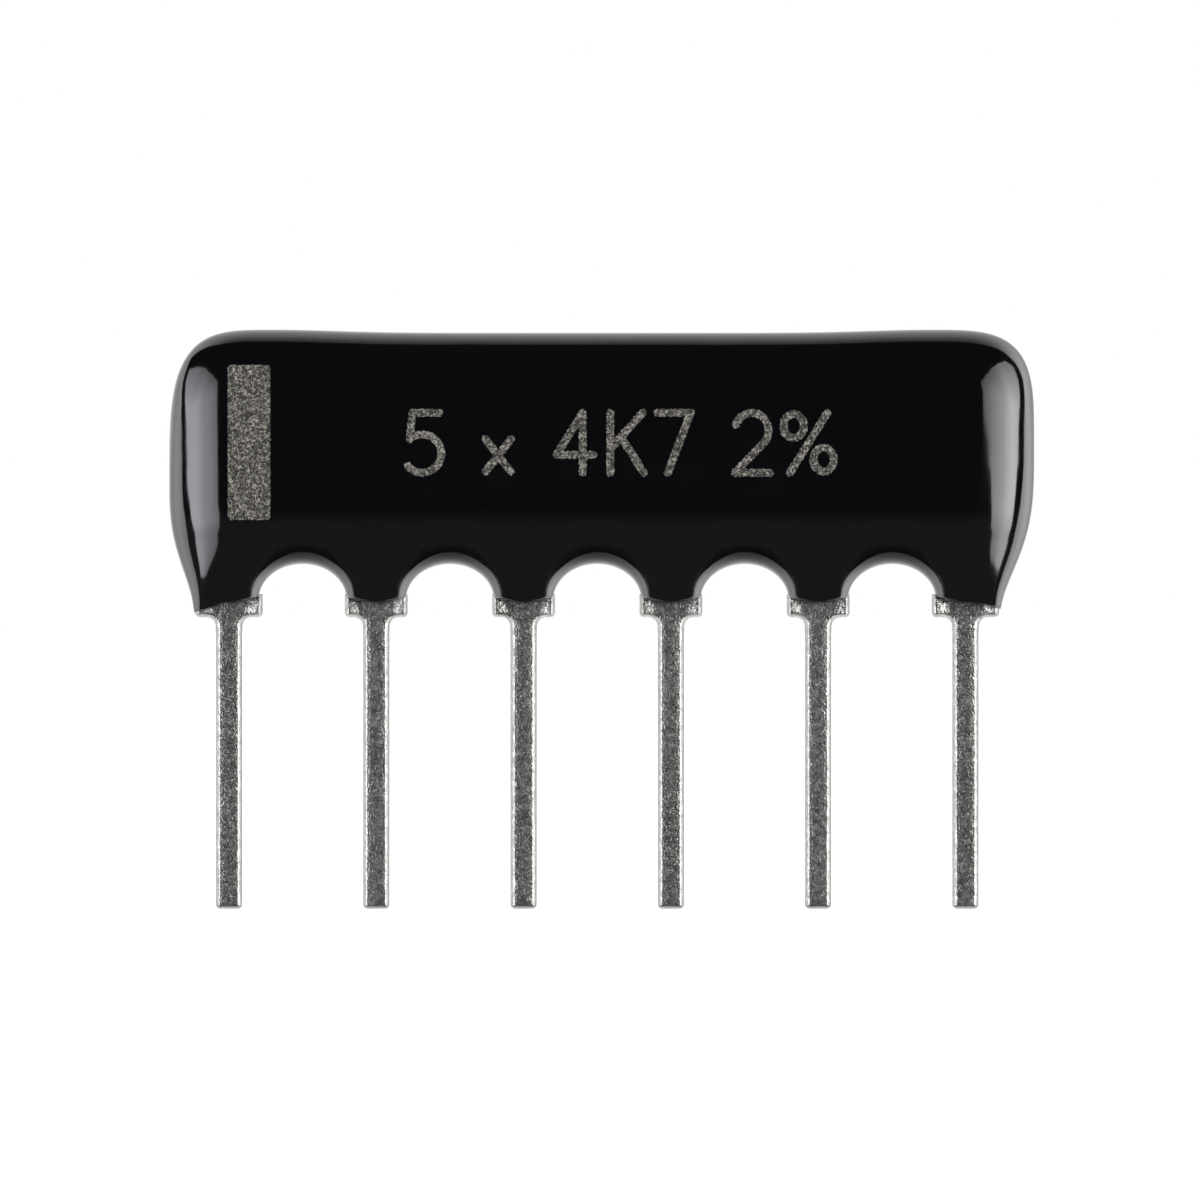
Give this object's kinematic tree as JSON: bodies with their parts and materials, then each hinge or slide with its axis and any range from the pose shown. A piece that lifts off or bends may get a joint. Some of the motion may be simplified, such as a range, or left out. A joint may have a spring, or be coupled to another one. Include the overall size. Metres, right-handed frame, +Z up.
{
  "type": "resistor network",
  "caption": "Slim black epoxy-dipped block on a row of flat tinned pins: film resistors that share one common bus, for through-hole circuit boards.",
  "frame": {"origin": "middle of the pin row, on the seating plane under the pin shoulders", "axes": "+X along the pin row from the first pin to the last, -Y out of the marked face, +Z up away from the board"},
  "size_m": [0.0149, 0.0022, 0.01],
  "materials": {
    "epoxy_coat": "glossy black dipped epoxy",
    "tinned_pin": "matte tin plate with fine drawing marks",
    "solder": "bright solder",
    "alumina": "fired alumina",
    "silver_conductor": "fired silver-palladium print",
    "resistor_film": "fired ruthenium oxide print",
    "overcoat_glass": "fired green glass print"
  },
  "bodies": {
    "root": {"coat": "epoxy_coat", "ceramic_plate": "alumina", "bus_track": "silver_conductor", "glass_overcoat": "overcoat_glass", "pin_1": "tinned_pin", "pin_2": "tinned_pin", "pin_3": "tinned_pin", "pin_4": "tinned_pin", "pin_5": "tinned_pin", "pin_6": "tinned_pin", "solder_joint_1": "solder", "solder_joint_2": "solder", "solder_joint_3": "solder", "solder_joint_4": "solder", "solder_joint_5": "solder", "solder_joint_6": "solder", "solder_pad_2": "silver_conductor", "solder_pad_3": "silver_conductor", "solder_pad_4": "silver_conductor", "solder_pad_5": "silver_conductor", "solder_pad_6": "silver_conductor", "resistor_1": "resistor_film", "resistor_2": "resistor_film", "resistor_3": "resistor_film", "resistor_4": "resistor_film", "resistor_5": "resistor_film"}
  },
  "joints": []
}
